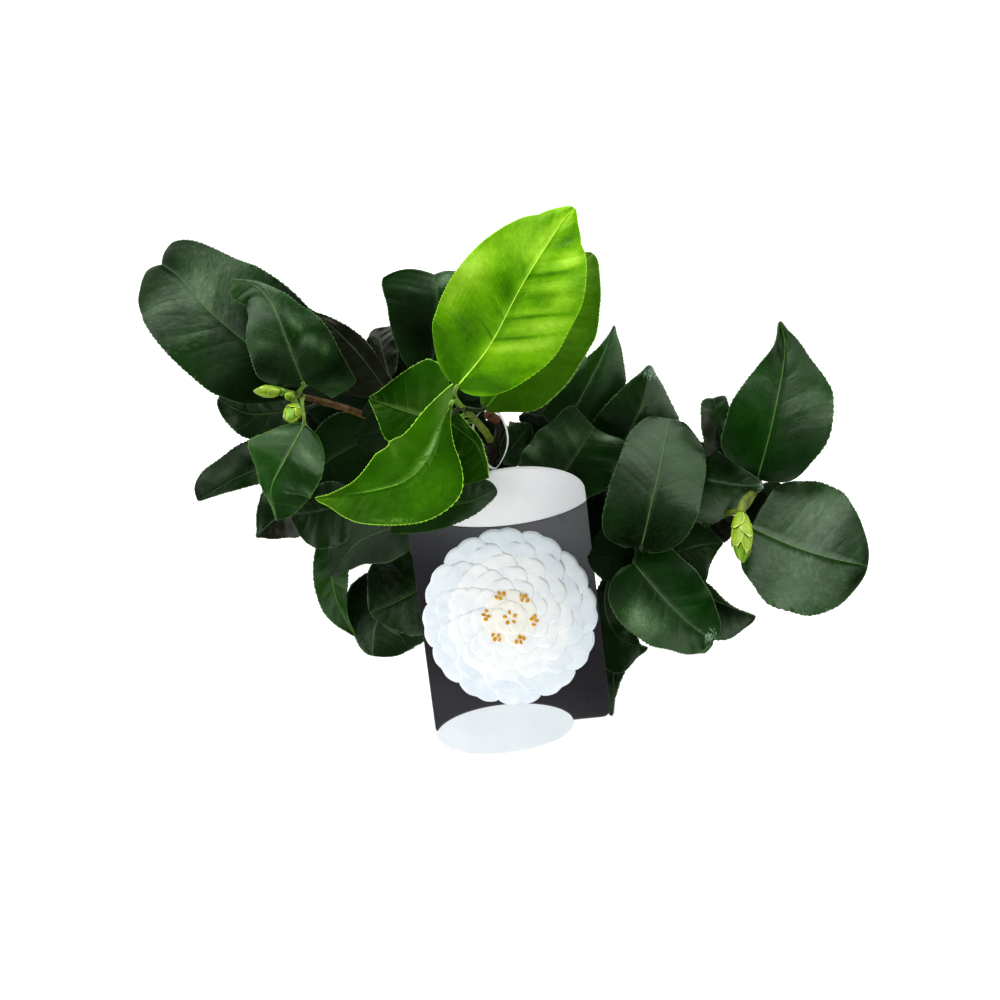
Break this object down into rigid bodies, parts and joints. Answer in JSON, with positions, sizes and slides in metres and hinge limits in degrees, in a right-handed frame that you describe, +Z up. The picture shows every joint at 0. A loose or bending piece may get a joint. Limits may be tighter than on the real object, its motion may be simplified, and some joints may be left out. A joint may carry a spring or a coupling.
{
  "type": "camellia shrub",
  "caption": "Young rooted camellia shrub: a short tapering stem, slender boughs, glossy leaf masses with green buds, and a printed hang tag on a strap round the stem.",
  "frame": {"origin": "centre of the flat cut under the main stem, at ground level", "axes": "+Z up, -Y towards the side where the tag hangs, which is the front, +X to the right seen from the front"},
  "size_m": [0.3199, 0.2334, 0.3487],
  "materials": {
    "bark": "matte",
    "leaf_dark": "glossy",
    "leaf_bright": "satin",
    "bud": "satin",
    "tag_card": "satin",
    "tag_strap": "satin"
  },
  "bodies": {
    "root": {"stem": "bark", "bough_left": "bark", "bough_left_low": "bark", "bough_back_left": "bark", "bough_front_left": "bark", "bough_centre": "bark", "bough_right_near": "bark", "bough_right": "bark", "bough_front_right": "bark", "bough_low_left": "bark", "bough_low_back_left": "bark", "bough_low_back": "bark", "bough_low_back_right": "bark", "bough_low_right": "bark", "bough_low_front": "bark", "mass_top": "leaf_bright", "mass_left": "leaf_dark", "mass_right": "leaf_dark", "mass_right_near": "leaf_dark", "mass_back_left": "leaf_dark", "mass_centre": "leaf_dark", "mass_left_low": "leaf_dark", "mass_front_left": "leaf_dark", "mass_front_right": "leaf_dark", "mass_low_back_left": "leaf_dark", "mass_low_back_right": "leaf_dark", "mass_low_left": "leaf_dark", "mass_low_right": "leaf_dark", "mass_low_back": "leaf_dark", "mass_low_front": "leaf_dark", "tag_card": "tag_card", "tag_strap": "tag_strap"}
  },
  "joints": []
}
